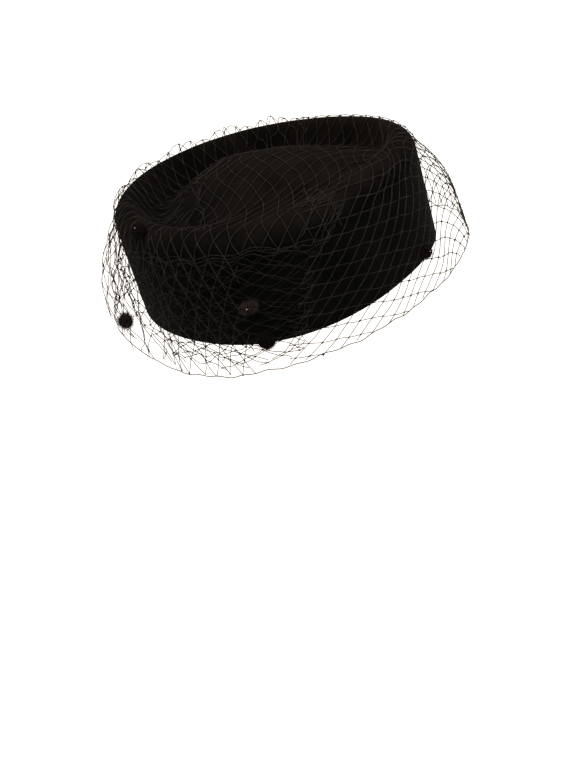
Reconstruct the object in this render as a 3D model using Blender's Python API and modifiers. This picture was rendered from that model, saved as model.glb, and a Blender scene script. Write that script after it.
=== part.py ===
"""Felt pillbox hat with a dotted veil.

Metres, +Z up. The wearer faces -Y, so the wearer's right is -X.
The origin is at the middle of the opening where the head goes in.
"""
import math

import bmesh
import bpy
from mathutils import Matrix, Vector

MM = 0.001
WELD_REACH = 0.01 * MM

# Felt hat, outside sizes
RIM_LENGTH = 225 * MM          # front to back at the shoulder
RIM_WIDTH = 211 * MM
EDGE_LENGTH = 223 * MM         # front to back at the lower edge
EDGE_WIDTH = 210 * MM
WIDEST_FORWARD = 18 * MM       # widest line, in front of the middle
FRONT_POWER = 2.3              # above 2 is blunter than an ellipse
BACK_POWER = 2.0
HAT_HEIGHT = 81 * MM
SHOULDER_RADIUS = 13 * MM
FELT_THICKNESS = 2.4 * MM
FELT_SECTORS = 48
WALL_RINGS = 2
SHOULDER_RINGS = 5

# Top of the hat: a rounded tip in a trench. The tip stands a little over the rim.
TIP_RISE = 4 * MM
TOP_FRACTIONS = (0.975, 0.945, 0.91, 0.87, 0.81, 0.75, 0.68, 0.6, 0.5, 0.38, 0.22)
# By direction from the front round the wearer's right. Depths are under the rim, and the
# places of the trench's bottom and of the tip's brow are fractions of the way out to the rim.
TRENCH_COLUMNS = ("direction_deg", "trench_mm", "bottom_at", "brow_mm", "brow_at")
TRENCH_ROWS = (
    (0, 5, 0.68, 2, 0.52),
    (30, 6, 0.62, 1, 0.46),
    (60, 7, 0.55, 1, 0.40),
    (78, 12, 0.63, 5, 0.49),
    (98, 23, 0.84, 11, 0.55),
    (125, 24, 0.84, 9, 0.50),
    (150, 24, 0.83, 7, 0.52),
    (180, 24, 0.84, 6, 0.60),
    (203, 22, 0.87, 6, 0.70),
    (230, 21, 0.87, 8, 0.68),
    (270, 20, 0.86, 9, 0.62),
    (295, 18, 0.86, 8, 0.60),
    (315, 12, 0.88, 6, 0.66),
    (335, 7, 0.80, 3, 0.66),
)

# Veil: one sheet of diamond veiling, laid over the top
VEIL_CLEARANCE = 1.95 * MM     # strand's middle over the felt on the top
SHOULDER_CLEARANCE = 2.4 * MM
SHOULDER_FROM = 0.8            # fraction of the way out where the clearance starts to grow
TRENCH_SHARE = 0.45            # how much of the trench the veil follows
STRAND = 1.9 * MM
SHEET_RADIUS = 0.215
SHEET_TURN = 45                # degrees from the front that the diamonds' long way points
DIAMOND_WIDTH = 38 * MM
DIAMOND_LENGTH = 62 * MM
SHEET_MARGIN = 5 * MM          # diamonds whose middle is nearer the edge than this are left out
# Extra points along a strand between two knots, by the strand's distance from the sheet's middle
CUT_ROWS = ((0.066, 1), (0.122, 4), (0.168, 2), (1, 1))
FLARE_POWER = 2.6              # how fast the veil swings out under the shoulder
# How far the veil's edge stands off the wall and hangs under the hat's lower edge, by direction
HANG_COLUMNS = ("direction_deg", "stand_off_mm", "drop_mm")
HANG_ROWS = (
    (0, 23, 6.5),
    (45, 20, 8),
    (90, 20.5, 13),
    (135, 24, 0),
    (180, 26, 6),
    (225, 24, 8),
    (270, 25, 4),
    (315, 22, 3),
)

# Gathered ends of the veil on the wearer's right, folded over at the top and stitched to the wall
GATHER_FROM = 22               # degrees from the front
GATHER_TO = 152
GATHER_TOP = 61 * MM
GATHER_BOTTOM = 2 * MM
GATHER_COLUMNS = 5             # whole diamonds along the band, and down it
GATHER_ROWS = 1
GATHER_CUTS = ((1, 3),)        # one distance that holds the whole band
GATHER_SHARE = 0.45            # of the veil's own distance from the wall
GATHER_CLEARANCE = 1.45 * MM   # strand's middle off the wall at the stitched edge

# Chenille dots on the veil's strands. The lift is how far a dot's middle stands outside the veil.
DOT_COLUMNS = ("direction_deg", "height_mm", "length_mm", "width_mm", "turn_deg", "lift_mm")
DOT_ROWS = (
    (121.5, 16.5, 13, 12, 60, 0),
    (64.5, 36.5, 17, 12, 15, 0),
    (61.5, 11.4, 14, 12, 0, 0),
    (357.5, 21, 12, 10, 0, 0),
    (114, 80, 13, 10, 70, 3.4),
)
DOT_THICKNESS = 10 * MM
DOT_SEGMENTS = 12
DOT_RINGS = 8
SEARCH_FROM = 0.3              # share of the veil past which the dots hang
SEARCH_STEPS = 30
STRAND_ROOM = 1.2 * MM         # how much wider than a strand the way through a dot is

FELT_COLOUR = (0.012, 0.010, 0.009, 1)
VEIL_COLOUR = (0.010, 0.008, 0.008, 1)
CHENILLE_COLOUR = (0.020, 0.012, 0.014, 1)


def clear_scene():
    for item in list(bpy.data.objects):
        bpy.data.objects.remove(item, do_unlink=True)


def make_collection(name):
    collection = bpy.data.collections.new(name)
    bpy.context.scene.collection.children.link(collection)
    return collection


def make_material(name, colour, roughness):
    material = bpy.data.materials.new(name)
    material.use_nodes = True
    shader = material.node_tree.nodes["Principled BSDF"]
    shader.inputs["Base Color"].default_value = colour
    shader.inputs["Roughness"].default_value = roughness
    shader.inputs["Metallic"].default_value = 0.0
    return material


def read_table(columns, rows, name, direction):
    """Value of one column at any direction in degrees, eased between the rows all the way round."""
    column = columns.index(name)
    direction = direction % 360
    closed = list(rows) + [(rows[0][0] + 360,) + tuple(rows[0][1:])]
    for low, high in zip(closed, closed[1:]):
        if low[0] <= direction <= high[0]:
            share = (direction - low[0]) / (high[0] - low[0])
            return low[column] + (high[column] - low[column]) * ease(share)
    return rows[0][column]


def ease(share):
    share = min(max(share, 0.0), 1.0)
    return share * share * (3 - 2 * share)


def plan_point(direction, length, width):
    """Point of the hat's oval at a direction in degrees, 0 at the front and 90 at the wearer's right."""
    angle = math.radians(direction)
    forward = math.cos(angle)
    right = math.sin(angle)
    middle = -WIDEST_FORWARD
    half = length / 2 - WIDEST_FORWARD if forward > 0 else length / 2 + WIDEST_FORWARD
    power = FRONT_POWER if forward > 0 else BACK_POWER
    reach = (abs(forward / half) ** power + abs(right / (width / 2)) ** power) ** (-1 / power)
    return Vector((-right * reach, middle - forward * reach, 0))


def trench(direction, name):
    return read_table(TRENCH_COLUMNS, TRENCH_ROWS, name, direction)


def top_drop(direction, fraction):
    """How far the felt's top lies under the rim, at a fraction of the way out to the rim."""
    depth = trench(direction, "trench_mm") * MM
    bottom = trench(direction, "bottom_at")
    brow = trench(direction, "brow_mm") * MM
    brow_at = trench(direction, "brow_at")
    if fraction >= bottom:
        return depth * ease((1 - fraction) / (1 - bottom))
    if fraction >= brow_at:
        return brow + (depth - brow) * ease((fraction - brow_at) / (bottom - brow_at))
    return (brow + TIP_RISE) * (fraction / brow_at) ** 2 - TIP_RISE


def wall_point(direction, height, stand_off):
    """Point at a height on the outside of the wall, or off it by a distance."""
    share = height / (HAT_HEIGHT - SHOULDER_RADIUS)
    length = EDGE_LENGTH + (RIM_LENGTH - EDGE_LENGTH) * share
    width = EDGE_WIDTH + (RIM_WIDTH - EDGE_WIDTH) * share
    point = plan_point(direction, length + 2 * stand_off, width + 2 * stand_off)
    point.z = height
    return point


def shoulder_point(direction, turn, stand_off):
    """Point on the rounded shoulder, turn 0 at the wall and 90 degrees at the rim's crest."""
    angle = math.radians(turn)
    inset = SHOULDER_RADIUS - (SHOULDER_RADIUS + stand_off) * math.cos(angle)
    point = plan_point(direction, RIM_LENGTH - 2 * inset, RIM_WIDTH - 2 * inset)
    point.z = HAT_HEIGHT - SHOULDER_RADIUS + (SHOULDER_RADIUS + stand_off) * math.sin(angle)
    return point


def top_point(direction, fraction, drop):
    """Point over the top at a fraction of the way out to the rim's crest, under the rim by a drop."""
    crest = shoulder_point(direction, 90, 0)
    middle = Vector((0, -WIDEST_FORWARD, 0))
    point = middle + (Vector((crest.x, crest.y, 0)) - middle) * fraction
    point.z = HAT_HEIGHT - drop
    return point


def veil_drop(direction, fraction):
    """How far the veil lies under the rim: on the tip, but sagging only part of the way into the trench."""
    felt = top_drop(direction, fraction)
    brow_at = trench(direction, "brow_at")
    bridge = trench(direction, "brow_mm") * MM * ease((1 - fraction) / (1 - brow_at))
    if felt < bridge:
        return felt
    return bridge + TRENCH_SHARE * (felt - bridge)


def loft(name, rings, pole, collection, material):
    """A mesh through closed rings, from the outside in, ending at one pole."""
    mesh_data = bmesh.new()
    loops = [[mesh_data.verts.new(point) for point in ring] for ring in rings]
    for outer, inner in zip(loops, loops[1:]):
        for i, vert in enumerate(outer):
            after = (i + 1) % len(outer)
            mesh_data.faces.new((vert, inner[i], inner[after], outer[after]))
    centre = mesh_data.verts.new(pole)
    last = loops[-1]
    for i, vert in enumerate(last):
        mesh_data.faces.new((vert, centre, last[(i + 1) % len(last)]))
    return finish_mesh(mesh_data, name, collection, material)


def finish_mesh(mesh_data, name, collection, material):
    bmesh.ops.recalc_face_normals(mesh_data, faces=mesh_data.faces)
    mesh = bpy.data.meshes.new(name)
    mesh_data.to_mesh(mesh)
    mesh_data.free()
    mesh.materials.append(material)
    mesh.shade_smooth()
    item = bpy.data.objects.new(name, mesh)
    collection.objects.link(item)
    return item


def make_felt_hat(collection, material):
    directions = [360 * i / FELT_SECTORS for i in range(FELT_SECTORS)]
    wall_top = HAT_HEIGHT - SHOULDER_RADIUS
    rings = []
    for i in range(WALL_RINGS):
        rings.append([wall_point(d, wall_top * i / WALL_RINGS, 0) for d in directions])
    for i in range(SHOULDER_RINGS + 1):
        rings.append([shoulder_point(d, 90 * i / SHOULDER_RINGS, 0) for d in directions])
    for fraction in TOP_FRACTIONS:
        rings.append([top_point(d, fraction, top_drop(d, fraction)) for d in directions])
    hat = loft("felt_hat", rings, top_point(0, 0, -TIP_RISE), collection, material)
    wall = hat.modifiers.new("felt wall", "SOLIDIFY")
    wall.thickness = FELT_THICKNESS
    wall.offset = -1
    wall.use_even_offset = True
    return hat


def hang(direction, name):
    return read_table(HANG_COLUMNS, HANG_ROWS, name, direction) * MM


def veil_stand_off(direction, height):
    """How far the veil stands off the wall at a height, swinging out fast under the shoulder."""
    top = HAT_HEIGHT - SHOULDER_RADIUS
    fall = (top - height) / (top + hang(direction, "drop_mm"))
    reach = hang(direction, "stand_off_mm") - SHOULDER_CLEARANCE
    return SHOULDER_CLEARANCE + reach * (1 - (1 - min(fall, 1)) ** FLARE_POWER)


def veil_point(direction, share):
    """Point of the veil at a share of the way from the middle of the top to the veil's edge."""
    drop = hang(direction, "drop_mm")
    top_length = (RIM_LENGTH + RIM_WIDTH) / 4 - SHOULDER_RADIUS
    shoulder_length = SHOULDER_RADIUS * math.pi / 2
    skirt_length = HAT_HEIGHT - SHOULDER_RADIUS + drop + hang(direction, "stand_off_mm") / 2
    way = share * (top_length + shoulder_length + skirt_length)
    if way < top_length:
        fraction = way / top_length
        grown = ease((fraction - SHOULDER_FROM) / (1 - SHOULDER_FROM))
        lift = VEIL_CLEARANCE + (SHOULDER_CLEARANCE - VEIL_CLEARANCE) * grown
        return top_point(direction, fraction, veil_drop(direction, fraction) - lift)
    way -= top_length
    if way < shoulder_length:
        return shoulder_point(direction, 90 - 90 * way / shoulder_length, SHOULDER_CLEARANCE)
    fall = (way - shoulder_length) / skirt_length
    height = (HAT_HEIGHT - SHOULDER_RADIUS) * (1 - fall) - drop * fall
    return wall_point(direction, height, veil_stand_off(direction, height))


def make_diamond_sheet():
    """Flat diamond grid inside a circle, its outer corners drawn out to the circle."""
    turn = Matrix.Rotation(math.radians(SHEET_TURN), 3, "Z")
    columns = math.ceil(SHEET_RADIUS / DIAMOND_WIDTH) + 1
    rows = math.ceil(SHEET_RADIUS / DIAMOND_LENGTH) + 1
    sheet = bmesh.new()
    knots = {}

    def knot(column, row):
        if (column, row) not in knots:
            flat = Vector((column * DIAMOND_WIDTH / 2, row * DIAMOND_LENGTH / 2, 0))
            knots[column, row] = sheet.verts.new(turn @ flat)
        return knots[column, row]

    for column in range(-2 * columns, 2 * columns + 1):
        for row in range(-2 * rows, 2 * rows + 1):
            centre = Vector((column * DIAMOND_WIDTH / 2, row * DIAMOND_LENGTH / 2))
            if (column + row) % 2 == 0 or centre.length > SHEET_RADIUS - SHEET_MARGIN:
                continue
            around = ((column + 1, row), (column, row + 1), (column - 1, row), (column, row - 1))
            sheet.faces.new([knot(*place) for place in around])
    for vert in sheet.verts:
        if any(edge.is_boundary for edge in vert.link_edges):
            vert.co = vert.co.normalized() * SHEET_RADIUS
    return sheet


def split_edges(sheet, cut_rows):
    """Adds points along the flat sheet's edges, most where the sheet bends most."""
    for edge in list(sheet.edges):
        start, end = edge.verts
        away = ((start.co + end.co) / 2).length
        cuts = next(count for reach, count in cut_rows if away <= reach)
        rest = edge
        for i in range(cuts):
            _, middle = bmesh.utils.edge_split(rest, start, 1 / (cuts + 1 - i))
            rest = next(e for e in middle.link_edges if end in e.verts)
            start = middle


def flat_to_veil(point):
    """Place on the hat of a point of the flat sheet, whose +X is the wearer's right and +Y the back."""
    direction = math.degrees(math.atan2(point.x, -point.y))
    return veil_point(direction, point.length / SHEET_RADIUS)


def draw_to_dots(sheet):
    """Moves the strand nearest each dot to the dot, as a dot's weight does."""
    taken = set()
    for row in DOT_ROWS:
        spot = flat_spot(row)
        free = (v for v in sheet.verts if v not in taken and not v.is_boundary)
        near = min(free, key=lambda v: (v.co - spot).length)
        near.co = spot
        taken.add(near)


def read_dot(row):
    return dict(zip(DOT_COLUMNS, row))


def flat_spot(row):
    """Place on the flat sheet of a dot's row."""
    direction = read_dot(row)["direction_deg"]
    height = read_dot(row)["height_mm"] * MM
    low, high = SEARCH_FROM, 1.0
    for _ in range(SEARCH_STEPS):
        share = (low + high) / 2
        if veil_point(direction, share).z > height:
            low = share
        else:
            high = share
    angle = math.radians(direction)
    return Vector((math.sin(angle), -math.cos(angle), 0)) * (low * SHEET_RADIUS)


def leave_strands(sheet, strand):
    """Cuts out the flat sheet's gaps. A strip stays on both sides of every edge."""
    middles = list(sheet.verts)
    gaps = list(sheet.faces)
    rim = [edge for edge in sheet.edges if edge.is_boundary]
    outward = {}
    for edge in rim:
        loop = edge.link_loops[0]
        along = (loop.link_loop_next.vert.co - loop.vert.co).normalized()
        for vert in edge.verts:
            outward[vert] = outward.get(vert, Vector()) + Vector((along.y, -along.x, 0))
    hem = bmesh.ops.extrude_edge_only(sheet, edges=rim)["geom"]
    for vert in (item for item in hem if isinstance(item, bmesh.types.BMVert)):
        joined = next(edge.other_vert(vert) for edge in vert.link_edges if edge.other_vert(vert) in outward)
        side = outward[joined]
        vert.co += side * strand / max(side.length_squared, 1)
    bmesh.ops.inset_individual(sheet, faces=gaps, thickness=strand / 2, use_even_offset=True)
    bmesh.ops.delete(sheet, geom=gaps, context="FACES_ONLY")
    return middles


def make_net(name, sheet, place, strand, collection, material):
    """Drapes a flat sheet cut into strands, thick along the middle of each strand."""
    middles = leave_strands(sheet, strand)
    for vert in sheet.verts:
        vert.co = place(vert.co)
    sheet.verts.index_update()
    thick = [vert.index for vert in middles]
    net = finish_mesh(sheet, name, collection, material)
    middle = net.vertex_groups.new(name="middle of strand")
    middle.add(thick, 1, "REPLACE")
    strands = net.modifiers.new("strand thickness", "SOLIDIFY")
    strands.thickness = strand
    strands.offset = 0
    strands.use_rim = False
    strands.vertex_group = middle.name
    closed = net.modifiers.new("strand sides", "WELD")
    closed.merge_threshold = WELD_REACH
    return net


def make_veil(name, strand, collection, material):
    sheet = make_diamond_sheet()
    split_edges(sheet, CUT_ROWS)
    draw_to_dots(sheet)
    return make_net(name, sheet, flat_to_veil, strand, collection, material)


def make_gather(collection, material):
    """A band of the same veiling, wider than it is high, in flat shares of its own length and height."""
    sheet = bmesh.new()
    width = 1 / GATHER_COLUMNS
    height = 1 / GATHER_ROWS
    for column in range(2 * GATHER_COLUMNS + 1):
        for row in range(2 * GATHER_ROWS + 1):
            if (column + row) % 2 == 0:
                continue
            corners = [(column - 1, row), (column, row - 1), (column + 1, row), (column, row + 1)]
            sheet.faces.new([sheet.verts.new((x * width / 2, y * height / 2, 0)) for x, y in corners])
    bmesh.ops.remove_doubles(sheet, verts=sheet.verts, dist=WELD_REACH)
    for side in ((-1, 0, 0), (1, 0, 0), (0, -1, 0), (0, 1, 0)):
        normal = Vector(side)
        border = Vector((max(side[0], 0), max(side[1], 0), 0))
        everything = sheet.verts[:] + sheet.edges[:] + sheet.faces[:]
        bmesh.ops.bisect_plane(sheet, geom=everything, dist=WELD_REACH, plane_co=border, plane_no=normal,
                               clear_outer=True)
    length = math.radians(GATHER_TO - GATHER_FROM) * (RIM_WIDTH + RIM_LENGTH) / 4
    for vert in sheet.verts:
        vert.co = (vert.co.x * length, vert.co.y * (GATHER_TOP - GATHER_BOTTOM), 0)

    def place(flat):
        direction = GATHER_FROM + (GATHER_TO - GATHER_FROM) * flat.x / length
        height = GATHER_BOTTOM + flat.y
        return gather_point(direction, height)

    split_edges(sheet, GATHER_CUTS)
    return make_net("veil_gather", sheet, place, STRAND, collection, material)


def gather_point(direction, height):
    """Point of the gathered layer, between the wall and the veil."""
    folded = ease((GATHER_TOP - height) / (GATHER_TOP - GATHER_BOTTOM) * 2)
    away = GATHER_SHARE * veil_stand_off(direction, height)
    return wall_point(direction, height, GATHER_CLEARANCE + (away - GATHER_CLEARANCE) * folded)


def veil_normal(flat):
    """Direction straight out of the veil at a point of the flat sheet."""
    aside = Vector((STRAND, 0, 0))
    back = Vector((0, STRAND, 0))
    across = flat_to_veil(flat + aside) - flat_to_veil(flat - aside)
    along = flat_to_veil(flat + back) - flat_to_veil(flat - back)
    return along.cross(across).normalized()


def make_dot(name, row, cutter, collection, material):
    """A rounded tuft round a strand of the veil, open where the strand runs through."""
    dot = read_dot(row)
    flat = flat_spot(row)
    out = veil_normal(flat)
    level = Vector((0, 0, 1)).cross(out).normalized()
    facing = Matrix((level, out.cross(level), out)).transposed().to_4x4()
    turn = Matrix.Rotation(math.radians(dot["turn_deg"]), 4, "Z")
    size = Matrix.Diagonal((dot["length_mm"] * MM, dot["width_mm"] * MM, DOT_THICKNESS, 1))
    middle = Matrix.Translation(flat_to_veil(flat) + out * dot["lift_mm"] * MM)
    tuft = bmesh.new()
    bmesh.ops.create_uvsphere(tuft, u_segments=DOT_SEGMENTS, v_segments=DOT_RINGS, radius=0.5)
    bmesh.ops.transform(tuft, matrix=middle @ facing @ turn @ size, verts=tuft.verts)
    item = finish_mesh(tuft, name, collection, material)
    way = item.modifiers.new("way for the strands", "BOOLEAN")
    way.operation = "DIFFERENCE"
    way.solver = "EXACT"
    way.object = cutter


def main():
    clear_scene()
    parts = make_collection("pillbox_hat")
    cutters = make_collection("cutters")
    felt = make_material("wool felt", FELT_COLOUR, 0.92)
    veiling = make_material("veiling", VEIL_COLOUR, 0.6)
    chenille = make_material("chenille", CHENILLE_COLOUR, 0.85)
    make_felt_hat(parts, felt)
    make_veil("veil_net", STRAND, parts, veiling)
    make_gather(parts, veiling)
    cutter = make_veil("strand_room", STRAND + STRAND_ROOM, cutters, veiling)
    cutter.hide_render = True
    cutter.display_type = "WIRE"
    for i, row in enumerate(DOT_ROWS):
        make_dot(f"chenille_dot_{i + 1}", row, cutter, parts, chenille)


main()
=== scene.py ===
"""Black felt pillbox hat under a dotted veil, for a plain studio picture."""
import math

import bmesh
import bpy
import numpy as np
from mathutils import Matrix, Vector, noise


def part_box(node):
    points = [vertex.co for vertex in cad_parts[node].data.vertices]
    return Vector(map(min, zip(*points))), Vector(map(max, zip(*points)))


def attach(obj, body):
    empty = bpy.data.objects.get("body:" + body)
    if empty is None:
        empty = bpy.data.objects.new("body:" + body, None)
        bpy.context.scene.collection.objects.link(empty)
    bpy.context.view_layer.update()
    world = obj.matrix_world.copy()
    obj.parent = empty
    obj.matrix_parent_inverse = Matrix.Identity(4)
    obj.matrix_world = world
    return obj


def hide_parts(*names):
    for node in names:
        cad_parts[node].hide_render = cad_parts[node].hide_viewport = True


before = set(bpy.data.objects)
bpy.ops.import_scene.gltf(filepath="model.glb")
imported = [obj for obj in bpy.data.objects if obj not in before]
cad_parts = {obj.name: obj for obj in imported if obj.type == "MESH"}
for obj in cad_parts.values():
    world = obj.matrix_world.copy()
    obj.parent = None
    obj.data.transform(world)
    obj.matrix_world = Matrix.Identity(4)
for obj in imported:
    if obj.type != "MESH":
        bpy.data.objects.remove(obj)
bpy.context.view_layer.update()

MM = 0.001
FULL_TURN = 6.28

# The hat's form, as in the part's source: millimetres, directions from the front round the wearer's right
RIM_LENGTH = 225
RIM_WIDTH = 211
EDGE_LENGTH = 223
EDGE_WIDTH = 210
WIDEST_FORWARD = 18
FRONT_POWER = 2.3
BACK_POWER = 2.0
HAT_HEIGHT = 81
SHOULDER_RADIUS = 13
WALL_TOP = HAT_HEIGHT - SHOULDER_RADIUS
FELT_THICKNESS = 2.4
TIP_RISE = 4
TRENCH_COLUMNS = ("direction", "trench", "bottom_at", "brow", "brow_at")
TRENCH_ROWS = (
    (0, 5, 0.68, 2, 0.52),
    (30, 6, 0.62, 1, 0.46),
    (60, 7, 0.55, 1, 0.40),
    (78, 12, 0.63, 5, 0.49),
    (98, 23, 0.84, 11, 0.55),
    (125, 24, 0.84, 9, 0.50),
    (150, 24, 0.83, 7, 0.52),
    (180, 24, 0.84, 6, 0.60),
    (203, 22, 0.87, 6, 0.70),
    (230, 21, 0.87, 8, 0.68),
    (270, 20, 0.86, 9, 0.62),
    (295, 18, 0.86, 8, 0.60),
    (315, 12, 0.88, 6, 0.66),
    (335, 7, 0.80, 3, 0.66),
)
FELT_SECTORS = 240
FELT_WALL_RINGS = 17
FELT_SHOULDER_RINGS = 16
FELT_TOP_RINGS = 64
FELT_LUMPS = 0.25              # how uneven the blocked felt is
FELT_LUMPS_PER_METRE = 32
FELT_EDGE_ROUND = 0.8
LIT_SIDE = 315               # direction in which the top is painted lightest, as if lit from there
TOP_LIGHT_LEVEL = 0.7                    # how much painted light the top has, from 0 to 1
LIT_SIDE_EXTRA = 0.3               # what the lit side has more of the painted light, and the shaded side less
TOP_LIGHT_TURN = 60                # turn round the shoulder where the painted top light is complete
TRENCH_SHADE = 0.85            # share of the painted top light that the trench's bottom loses on the shaded side: painted shade

# The veil: diamonds of fine thread, laid over the top, with lengths along it from the top's middle
VEIL_LIFT = 0.9                # thread's middle off the felt on the top
SHOULDER_LIFT = 1.2
LIFTED_RIM = 0.2               # outer share of the top where the one lift passes into the other
TRENCH_SHARE = (               # direction and how much of the trench the veil follows there
    (0, 0.6), (30, 0.3), (60, 0.2), (90, 0.25), (112, 0.6), (130, 0.8), (330, 0.8), (360, 0.6))
FLARE_POWER = 2.6
HANG_COLUMNS = ("direction", "stand_off", "drop")
HANG_ROWS = (
    (0, 23, 6.5),
    (45, 20, 8),
    (90, 20.5, 13),
    (135, 24, 0),
    (180, 26, 6),
    (225, 24, 8),
    (270, 25, 4),
    (315, 22, 3),
)
DIAMOND_WIDTH = 12.3
DIAMOND_LENGTH = 23.5
BACK_DIAMOND_WIDTH = 9         # drawn together by their own weight where they hang straight down
THREAD_RADIUS = 0.26
KNOT_RADIUS = 0.72
EDGE_THREAD_RADIUS = 0.33
EDGE_KNOT_RADIUS = 0.4
LOOSE_THREAD_RADIUS = 0.19     # of the folded edges and the tacking
THREAD_POINTS = 6              # points along a thread from knot to knot
THREAD_SIDES = 5
THREAD_BEND = 0.5              # how far a thread bows at most between its knots
CUT_STEPS = 12                 # halvings that find where a thread is cut off
SHADED_THREADS_BELOW = 50              # threads are painted darkest, as in shade, under this height
LIT_THREADS_ABOVE = 76               # and painted lightest, as in light, over this one
THREAD_SHADE_TONE = 0.62               # tone of the painted shade as a share of the painted light
LONG_WAY = 83                  # direction that the diamonds' long way points, outside the trench
TIP_TWIST = -25                # how much the diamonds are turned on the tip
FRONT_BAND = {                 # how the sheet is drawn together over the front
    "direction": 8, "strength": 0.75, "pressed": 0.88, "drawn": -0.15,
    "dragged": 0.55, "turned": 0, "sagged": 0.12}
SIDE_BAND = {                  # and over the wearer's right
    "direction": 74, "strength": 0.85, "pressed": 1.0, "drawn": 0.0,
    "dragged": 0.0, "turned": -12, "sagged": 0.0}
SHEET_CUT = -100               # sheet angles are counted from here, on the wearer's left
FAN_SEAM = 41                  # sheet angle where the two bands meet, under the fold
FAN_FROM = 25                  # length along the veil where the drawing together starts
FAN_GROWS = 80                 # and over which it grows
FAN_REACH = 33                 # degrees from a band's middle where it starts to weaken
FAN_FADES = 40                 # and over which it ends
PRESS_FADES = 30
RIM_ALONG = 95                 # length along the veil where it comes to the rim
SAG_GROWS = 20
SHEET_REACH = 330              # how far the knots are set out from the sheet's middle
SMALLEST_PATCH = 40            # smaller groups of knots fall away where the sheet is cut

# The back's own diamonds, which hang straight down
BACK_FROM = 104
BACK_TO = 250
BACK_RADIUS = 100              # of the strip that they are cut from
BACK_REACH = 460
BACK_INNER = 71                # length along the veil, at the bottom of the trench
BACK_FORWARD = 16              # degrees nearer the front that they start in the trench
TRENCH_ALONG = 92              # length along the veil where they start to draw back from that
CRUMPLED_ALONG = 96            # and where they start to smooth out
OUT_OF_TRENCH = 14             # length over which both happen
BACK_OVERLAP = 4               # how far the sheet goes on over them
STRAY_THREADS = 0.35           # more is fewer stray threads inside the trench

TIP_FOLD = (                   # direction and length along the veil where the tip's diamonds turn under
    (92, 72), (113, 63), (133, 56), (164, 61), (183, 70), (230, 66), (250, 70))

# Folds of the veil where it hangs, and its billow over the rim behind on the wearer's right
SKIRT_ALONG = 125              # length along the veil where the folds start
SKIRT_GROWS = 50
DEEP_FROM = 70                 # direction where the deep folds start
DEEP_TO = 210
DEEP_NARROW = 1.4              # more brings the deep folds closer to where they start
DEEP_FOLDS = 31                # in a full turn, as for the others
DEEP_DEPTH = 3.5
DEEP_INSET = 2
DEEP_RISE = 1.5
RIPPLES = 14
RIPPLE_DEPTH = 1.2
RIM_BILLOW = 6
BILLOW_FROM = 128              # direction where the billow starts
BILLOW_GROWS = 22
BILLOW_FADES = 20
BILLOW_LOW = 55                # height where it starts
BILLOW_LIFTS = 15
BILLOW_WIDTH = 13

# The layers gathered under the veil on the wearer's right
GATHER_EDGE = (                # height of the folded top edge
    (22, 78), (27, 76), (33, 62), (46, 66), (60, 71), (84, 68), (110, 66), (140, 62), (156, 60))
GATHER_FRONT = (               # direction of the folded front edge
    (-10, 52), (8, 50), (20, 46), (33, 44), (45, 41), (62, 34), (76, 27), (80, 24))
GATHER_BACK = 152
GATHER_HEM = -11
GATHER_RADIUS = 118            # of the flat strip that the layers are cut from
STRETCHED_LENGTH = 22          # the gathered diamonds are pulled sideways
STRETCHED_WIDTH = 9.5
GATHER_LAYERS = (              # share of the room out to the veil, last direction, turn of the diamonds, seed
    (0.35, GATHER_BACK, 4, 21),
    (0.7, 104, -5, 22),
)
GATHER_ALONG = 112             # length along the veil from which it is cut for the layers
SIDE_PAST_FOLD = 2             # degrees that the side's diamonds reach past the folded front edge
FRONT_PAST_FOLD = 5            # and the front's
TUCKED_TO = 66                 # up to this direction the side's diamonds end at the folded top edge
TUCKED = 2                     # and reach this far under it
MESS = 0.45                    # how tangled the layers are towards the back
MESS_FROM = 55
MESS_GROWS = 45
GATHER_OUT = 22                # height over which a layer leaves the wall, under its top edge
OFF_WALL = 0.9
OFF_VEIL = 2
TOP_STRANDS = 3                # threads in the folded top edge, and the direction where they start
TOP_STRANDS_FROM = 24
FRONT_STRANDS = 2              # in the folded front edge, and their heights
FRONT_STRANDS_HIGH = 79
FRONT_STRANDS_LOW = -2
TIP_STRANDS = 2                # where the tip's diamonds turn under, and their directions
TIP_STRANDS_FROM = 98
TIP_STRANDS_TO = 196
STRAND_POINTS = 120

MIDDLE = np.array((0.0, -WIDEST_FORWARD))


def ease(share):
    share = np.clip(share, 0, 1)
    return share * share * (3 - 2 * share)


def waves(direction, count, late=0):
    """Waves from -1 to 1, so many in a full turn round the hat."""
    return np.sin(np.radians(direction) * count + late)


def read_table(columns, rows, name, direction):
    """One column at any directions in degrees, eased between the rows all the way round."""
    table = np.array(list(rows) + [(rows[0][0] + 360,) + tuple(rows[0][1:])], float)
    column = columns.index(name)
    direction = np.mod(direction, 360)
    low = np.clip(np.searchsorted(table[:, 0], direction, side="right") - 1, 0, len(rows) - 1)
    share = (direction - table[low, 0]) / (table[low + 1, 0] - table[low, 0])
    return table[low, column] + (table[low + 1, column] - table[low, column]) * ease(share)


def read_trench(name, direction):
    return read_table(TRENCH_COLUMNS, TRENCH_ROWS, name, direction)


def read_hang(name, direction):
    return read_table(HANG_COLUMNS, HANG_ROWS, name, direction)


def read_edge(rows, value):
    return np.interp(value, [row[0] for row in rows], [row[1] for row in rows])


def reach(direction, length, width):
    """Distance from the plan's middle to the oval."""
    angle = np.radians(direction)
    forward, right = np.cos(angle), np.sin(angle)
    front = forward > 0
    half = np.where(front, length / 2 - WIDEST_FORWARD, length / 2 + WIDEST_FORWARD)
    power = np.where(front, FRONT_POWER, BACK_POWER)
    return (np.abs(forward / half) ** power + np.abs(right / (width / 2)) ** power) ** (-1 / power)


def wall_reach(direction, height, stand_off):
    share = height / WALL_TOP
    length = EDGE_LENGTH + (RIM_LENGTH - EDGE_LENGTH) * share
    width = EDGE_WIDTH + (RIM_WIDTH - EDGE_WIDTH) * share
    return reach(direction, length + 2 * stand_off, width + 2 * stand_off)


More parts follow.
